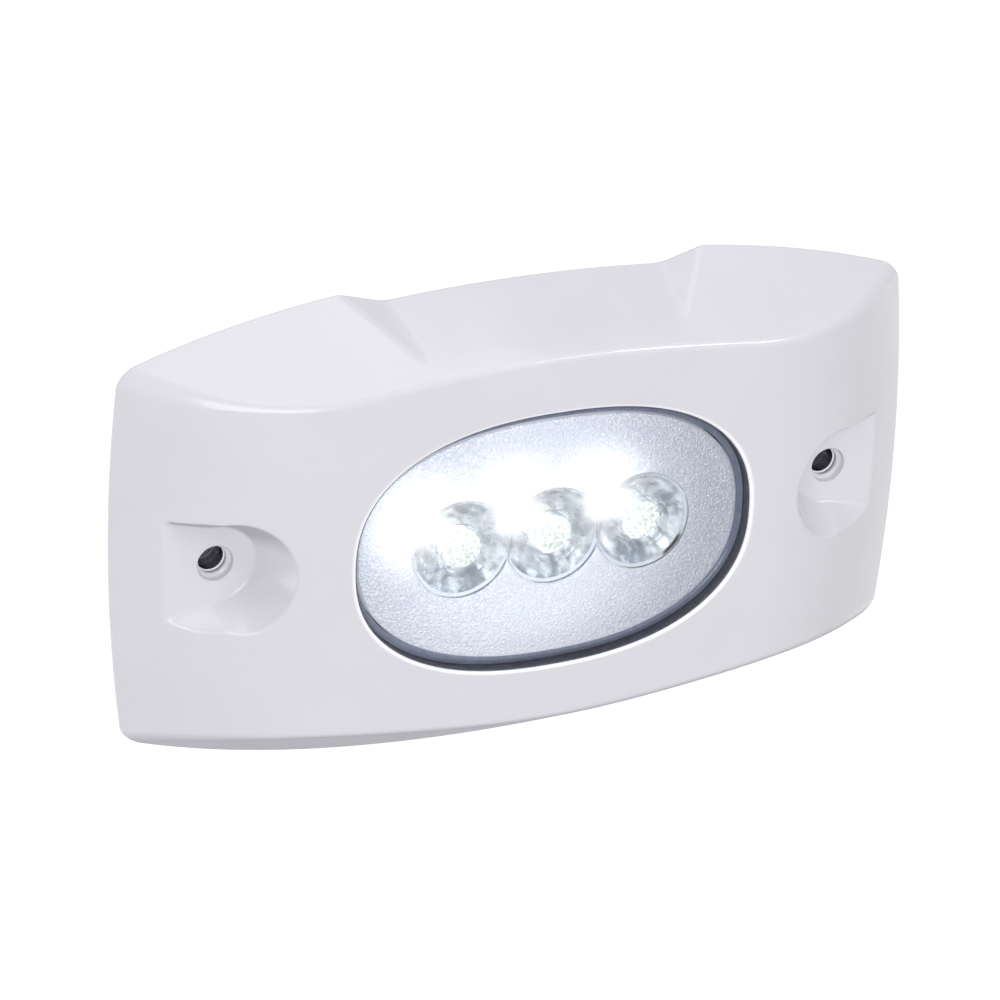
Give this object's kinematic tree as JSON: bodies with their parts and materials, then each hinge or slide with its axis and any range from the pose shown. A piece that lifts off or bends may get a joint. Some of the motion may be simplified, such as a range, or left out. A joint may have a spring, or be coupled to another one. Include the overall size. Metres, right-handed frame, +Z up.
{
  "type": "underwater pool light",
  "caption": "Surface-mounted underwater light: white bowed cover with oval window, collimating optics, end screw pockets and a sealed capsule with a cable gland behind.",
  "frame": {"origin": "centre of the light on the pool wall's surface, midway between the two fixing holes", "axes": "+X to the right seen from the pool, +Y into the wall, +Z up"},
  "size_m": [0.18, 0.04, 0.1061],
  "materials": {
    "cover": "glossy white moulded ASA",
    "lens": "clear polycarbonate, polished",
    "optic": "clear acrylic, polished, frosted centre",
    "gasket": "dark grey moulded rubber",
    "mask": "silver-blue fine orange-peel texture",
    "stainless": "marine stainless steel",
    "aluminium": "mill finish",
    "housing": "black glass-filled polymer",
    "holder": "white moulded polymer",
    "board": "white solder mask",
    "pad": "thermal silicone",
    "phosphor": "LED phosphor under silicone",
    "ceramic": "LED ceramic",
    "chip": "black epoxy",
    "copper": "enamelled copper",
    "lead_red": "red insulation",
    "lead_black": "black insulation"
  },
  "bodies": {
    "light": {"front_cover": "cover", "lens": "lens", "optic_left": "optic", "optic_centre": "optic", "optic_right": "optic", "window_gasket": "gasket", "lens_seal": "gasket", "lead_bung": "gasket", "cable_seal": "gasket", "spigot_o_ring": "gasket", "reflector_mask": "mask", "clamp_ring": "stainless", "capsule_screw_1": "stainless", "capsule_screw_2": "stainless", "capsule_screw_3": "stainless", "capsule_screw_4": "stainless", "capsule_screw_5": "stainless", "capsule_screw_6": "stainless", "capsule_screw_7": "stainless", "capsule_screw_8": "stainless", "cover_screw_1": "stainless", "cover_screw_2": "stainless", "cover_screw_3": "stainless", "cover_screw_4": "stainless", "board_screw_left": "stainless", "board_screw_right": "stainless", "fixing_sleeve_left": "stainless", "fixing_sleeve_right": "stainless", "heat_spreader": "aluminium", "capacitor_1": "aluminium", "capacitor_2": "aluminium", "rear_housing": "housing", "optic_holder": "holder", "led_board": "board", "thermal_pad": "pad", "led_dome_left": "phosphor", "led_dome_centre": "phosphor", "led_dome_right": "phosphor", "led_base_left": "ceramic", "led_base_centre": "ceramic", "led_base_right": "ceramic", "rectifier": "chip", "driver_chip": "chip", "resistor_1": "chip", "resistor_2": "chip", "resistor_3": "chip", "inductor": "copper", "supply_lead_red": "lead_red", "supply_lead_black": "lead_black"},
    "thrust_ring": {"thrust_ring": "stainless"},
    "gland_nut": {"gland_nut": "housing"}
  },
  "joints": [
    {"name": "gland_ring_slide", "type": "slide", "parent": "light", "child": "thrust_ring", "axis": [0, 1, 0], "range_m": [0, 0.003]},
    {"name": "gland_nut_turn", "type": "hinge", "parent": "thrust_ring", "child": "gland_nut", "pos_m": [0, 0.0122, 0], "axis": [0, 1, 0], "range_deg": [0, 720]}
  ],
  "couplings": [
    {"joint": "gland_ring_slide", "follows": "gland_nut_turn", "m_per_rad": 0.00023873}
  ]
}
